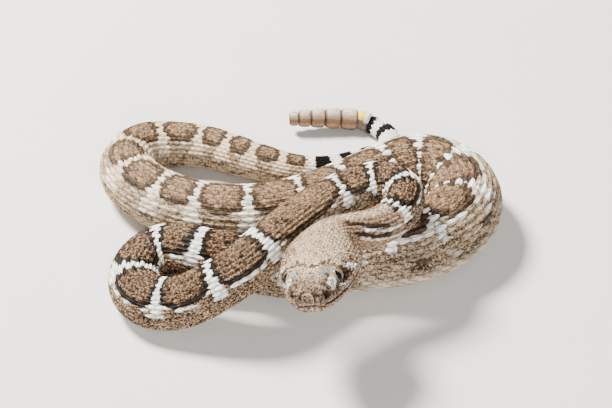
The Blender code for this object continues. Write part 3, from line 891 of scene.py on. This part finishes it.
def make_head_plates(material):
    """Plates of the snout, the crown, round the eyes and in rows along the lips and the chin."""
    rimmed, plain, lip = 0.5, 0.3, 1.0
    plates = [("front", 1, 0, 1.25, 1.95, 1.45, 90, 0.5, 0.3, rimmed, 0.2),      # rostral
              ("front", 1, 0, -2.1, 0.75, 1.05, 90, 0.9, 0.24, lip, 0.3)]        # mental
    for side in (1, -1):
        plates += [("front", side, 3.1, 1.65, 1.35, 1.3, 80, 0.5, 0.24, plain, 0),
                   ("cheek", side, 3.5, 1.5, 0.7, 1.2, 10, 0.6, 0.22, plain, 0)]
        for middle, width in ((0.8, 0.78), (2.35, 0.76), (3.9, 0.76)):
            plates.append(("crown", side, 2.1, middle, 0.9, width, 5 * middle, 0.5, 0.2, plain, 0))
        for at, middle, length, width in LARGE_PLATES:
            plates.append(("crown", side, at, middle, length, width, 6, 0.8, 0.28, plain, 0))
        for number in range(12):
            turn = math.radians(-190 + number * 27)
            plates.append(("cheek", side, EYE[0] - 2.65 * math.cos(turn), EYE[2] + 2.5 * math.sin(turn),
                           0.4, 0.6, -math.degrees(turn), 0.4, 0.2, plain, 0))
        for start, middle, half in spans(1.75, 25.2, 14):
            tall = 0.62 + 0.18 * min(start / 14, 1)
            plates.append(("lip", side, middle, 0.28 + tall, half, tall, 0, 0.25, 0.25, lip, 0))
        for first, over, count in ((1.0, -1.12, 14), (0.0, -2.45, 13)):
            for _, middle, half in spans(first, 24.8, count):
                plates.append(("lip", side, middle, over, half, 0.66, 0, 0.25, 0.22, lip, 0))
    lay_plates("head_plates", plates, material)


def make_eyes():
    """Finer balls, with their poles at the pupils."""
    material = eye_paint()
    for name, side in (("right", 1), ("left", -1)):
        bm = bmesh.new()
        bmesh.ops.create_uvsphere(bm, u_segments=56, v_segments=36, radius=1)
        mesh = finished(bm, "ball_" + name)
        flat = coordinates(mesh)
        fill_attribute(mesh, "iris", *flat.T)
        middle, aside, above, ahead = snake.place(
            np.full(4, EYE[0]), side * (EYE[1] + np.array((0, 1, 0, 0))), EYE[2] + np.array((0, 0, 1, 0)),
            np.array((0, 0, 0, 1)))
        out = sum(share * (tip - middle) for share, tip in zip(GAZE, (aside, above, ahead)))
        out /= np.linalg.norm(out)
        level = np.cross(above - middle, out)
        level /= np.linalg.norm(level)
        turned = flat @ np.stack([level, np.cross(out, level), out])
        mesh.vertices.foreach_set("co", (middle + EYE_RADIUS * MM * turned).ravel())
        add_piece("ball_" + name, mesh, material, ["eye_" + name])


# Swelling of a segment of the rattle along its length.
HORN_SHAPE = ((0, 0.04, 0.1, 0.2, 0.36, 0.52, 0.66, 0.78, 0.87, 0.94, 1),
              (0.8, 0.9, 0.96, 0.99, 1, 1, 0.98, 0.955, 0.91, 0.86, 0.78))


def make_rattle():
    """Horny segments, each a swollen ring with a waist, taller than it is thick."""
    material = rattle_paint()
    start = TAIL_END
    for number, (length, size) in enumerate(zip(RATTLE, RATTLE_SIZES), 1):
        begin, end = start + RATTLE_GAP, start + length - RATTLE_GAP

        def surface(along, share):
            aside, above = np.sin(share * math.pi), np.cos(share * math.pi)
            waist = 1 - 0.14 * np.abs(aside) ** 5
            swell = np.interp(along, *HORN_SHAPE) * size
            return snake.place(begin + along * (end - begin), RATTLE_THICK * swell * aside * waist,
                               RATTLE_TALL * swell * np.sign(above) * np.abs(above) ** 0.8 + RATTLE_RAISE)

        def describe(mesh, along, share):
            fill_attribute(mesh, "horn", along, np.cos(share * math.pi), 0.1 * number - 0.05)

        mesh = tube(f"horn_{number}", HORN_SHAPE[0], 40, surface, describe)
        add_piece(f"horn_{number}", mesh, material, [f"rattle_{number}"], crisp=60)
        start += length


def make_scutes(material):
    """One row of wide smooth scales along the belly."""
    s, number = numbered()
    at = np.interp(np.arange(math.ceil(np.interp(SCUTES_START, s, number)), number[-1]), number, s)
    wide, long = 2 * BELLY_EDGE * girth(at)[0] / 1.12, scale_size(at)[1]
    none, all_ = np.zeros(len(at)), np.ones(len(at))
    chance = np.random.default_rng(3).random(len(at))
    lay_scales("belly_scutes", plain_scale(4, 16), at, all_, wide, long, coat(at) * 0.9, none, all_,
               chance, material, (SCUTES_START, TAIL_END))


def make_floor():
    bm = bmesh.new()
    bmesh.ops.create_grid(bm, x_segments=1, y_segments=1, size=3)
    mesh = finished(bm, "floor")
    paint = Paint("pale_floor", {"Roughness": 0.8})
    paint.feed("Base Color", paint.mix(paint.noise(30, 3), (0.74, 0.72, 0.69), (0.79, 0.77, 0.74)))
    mesh.materials.append(paint.material)
    floor = put("floor", mesh)


def make_camera():
    """The photograph's view: from the front and well up, through a long lens."""
    elevation, distance = math.radians(45), 0.56
    lens = bpy.data.cameras.new("camera")
    lens.lens, lens.sensor_width = 100, 36
    lens.clip_start, lens.clip_end = 0.01, 20
    camera = put("camera", lens)
    back = Vector((0, -math.cos(elevation), math.sin(elevation)))
    camera.location = Vector(snake.shift * MM) + back * distance
    camera.rotation_euler = (-back).to_track_quat("-Z", "Y").to_euler()
    bpy.context.scene.camera = camera


def add_light(name, where, size, power, tint):
    """A round lamp, turned to the middle of the floor."""
    lamp = bpy.data.lights.new(name, "AREA")
    lamp.shape, lamp.size, lamp.energy, lamp.color = "DISK", size, power, tint
    thing = put(name, lamp)
    thing.location = where
    thing.rotation_euler = (-Vector(where)).to_track_quat("-Z", "Y").to_euler()


def make_lights():
    """Warm light from the back left, as in the photograph, a weak one in front, and a dim world."""
    add_light("key_light", where=(-0.5, 0.4, 0.85), size=0.3, power=50, tint=(1, 0.96, 0.9))
    add_light("fill_light", where=(0.2, -0.9, 0.55), size=0.8, power=12, tint=(0.98, 0.99, 1))
    world = bpy.data.worlds.new("studio")
    world.use_nodes = True
    background = world.node_tree.nodes["Background"]
    background.inputs["Color"].default_value = (1, 1, 1, 1)
    background.inputs["Strength"].default_value = 0.32
    bpy.context.scene.world = world


skin_material = skin_paint()
make_skin(skin_material)
make_coat(skin_material)
make_scutes(skin_material)
make_head_plates(skin_material)
make_eyes()
make_rattle()
make_floor()
make_camera()
make_lights()
